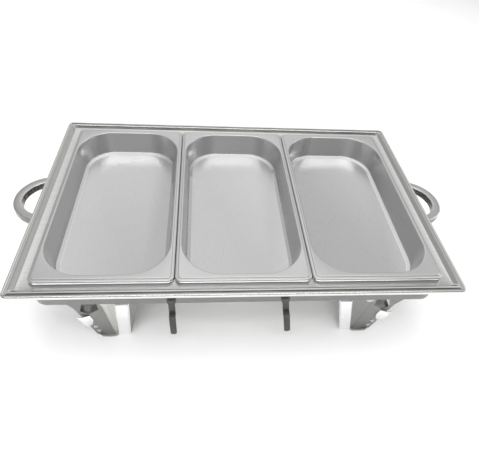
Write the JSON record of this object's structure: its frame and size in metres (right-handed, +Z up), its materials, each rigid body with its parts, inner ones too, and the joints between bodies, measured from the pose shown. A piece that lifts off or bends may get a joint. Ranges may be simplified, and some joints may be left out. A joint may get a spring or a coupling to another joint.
{
  "type": "chafing dish food warmer",
  "caption": "Folding chafing dish: food pans in a flanged water pan on a sheet steel rail stand with fold-in legs, loop end handles, front hooks and fuel holders.",
  "frame": {"origin": "on the table plane, under the middle of the stand", "axes": "+X along the long side towards the right handle, +Y away from the guest, +Z up"},
  "size_m": [0.658, 0.368, 0.14],
  "materials": {
    "food_pan_steel": "satin inside, bright edges",
    "water_pan_steel": "bright brushed",
    "rail_steel": "plain mill finish",
    "leg_steel": "pressed, bright",
    "handle_steel": "polished top",
    "hook_steel": "bright strip",
    "fuel_holder_steel": "spun",
    "rivet_steel": "plain"
  },
  "bodies": {
    "stand": {"front_rail": "rail_steel", "back_rail": "rail_steel", "left_end_rail": "rail_steel", "right_end_rail": "rail_steel", "corner_rivets": "rivet_steel", "front_left_bracket": "rail_steel", "front_right_bracket": "rail_steel", "back_left_bracket": "rail_steel", "back_right_bracket": "rail_steel", "bracket_rivets": "rivet_steel", "pivot_pins": "rivet_steel", "left_handle": "handle_steel", "right_handle": "handle_steel", "handle_rivets": "rivet_steel", "hook_pins": "rivet_steel"},
    "left_hook": {"left_hook": "hook_steel"},
    "right_hook": {"right_hook": "hook_steel"},
    "left_legs": {"left_front_leg": "leg_steel", "left_back_leg": "leg_steel", "left_cross_panel": "leg_steel", "left_leg_rivets": "rivet_steel", "left_leg_tabs": "leg_steel"},
    "right_legs": {"right_front_leg": "leg_steel", "right_back_leg": "leg_steel", "right_cross_panel": "leg_steel", "right_leg_rivets": "rivet_steel", "right_leg_tabs": "leg_steel"},
    "water_pan": {"water_pan": "water_pan_steel"},
    "left_food_pan": {"left_food_pan": "food_pan_steel"},
    "middle_food_pan": {"middle_food_pan": "food_pan_steel"},
    "right_food_pan": {"right_food_pan": "food_pan_steel"},
    "left_fuel_holder": {"left_fuel_cup": "fuel_holder_steel", "left_cover_pin": "rivet_steel"},
    "right_fuel_holder": {"right_fuel_cup": "fuel_holder_steel", "right_cover_pin": "rivet_steel"},
    "left_fuel_cover": {"left_fuel_cover": "fuel_holder_steel"},
    "right_fuel_cover": {"right_fuel_cover": "fuel_holder_steel"}
  },
  "joints": [
    {"name": "water_pan_lift", "type": "slide", "parent": "stand", "child": "water_pan", "axis": [0, 0, 1], "range_m": [0, 0.12]},
    {"name": "left_food_pan_lift", "type": "slide", "parent": "water_pan", "child": "left_food_pan", "axis": [0, 0, 1], "range_m": [0, 0.08]},
    {"name": "middle_food_pan_lift", "type": "slide", "parent": "water_pan", "child": "middle_food_pan", "axis": [0, 0, 1], "range_m": [0, 0.08]},
    {"name": "right_food_pan_lift", "type": "slide", "parent": "water_pan", "child": "right_food_pan", "axis": [0, 0, 1], "range_m": [0, 0.08]},
    {"name": "left_legs_fold", "type": "hinge", "parent": "stand", "child": "left_legs", "pos_m": [-0.183, 0, 0.082], "axis": [0, -1, 0], "range_deg": [0, 90]},
    {"name": "right_legs_fold", "type": "hinge", "parent": "stand", "child": "right_legs", "pos_m": [0.183, 0, 0.082], "axis": [0, 1, 0], "range_deg": [0, 90]},
    {"name": "left_hook_swing", "type": "hinge", "parent": "stand", "child": "left_hook", "pos_m": [-0.094, -0.1627, 0.096], "axis": [0, 1, 0], "range_deg": [-40, 40]},
    {"name": "right_hook_swing", "type": "hinge", "parent": "stand", "child": "right_hook", "pos_m": [0.058, -0.1627, 0.096], "axis": [0, 1, 0], "range_deg": [-30, 50]},
    {"name": "left_fuel_holder_slide", "type": "slide", "parent": "stand", "child": "left_fuel_holder", "axis": [0, 1, 0], "range_m": [0, 0.215]},
    {"name": "right_fuel_holder_slide", "type": "slide", "parent": "stand", "child": "right_fuel_holder", "axis": [0, 1, 0], "range_m": [0, 0.215]},
    {"name": "left_fuel_cover_swivel", "type": "hinge", "parent": "left_fuel_holder", "child": "left_fuel_cover", "pos_m": [-0.016, 0, 0.041], "axis": [0, 0, 1], "range_deg": [0, 90]},
    {"name": "right_fuel_cover_swivel", "type": "hinge", "parent": "right_fuel_holder", "child": "right_fuel_cover", "pos_m": [0.016, 0, 0.041], "axis": [0, 0, 1], "range_deg": [0, 90]}
  ]
}
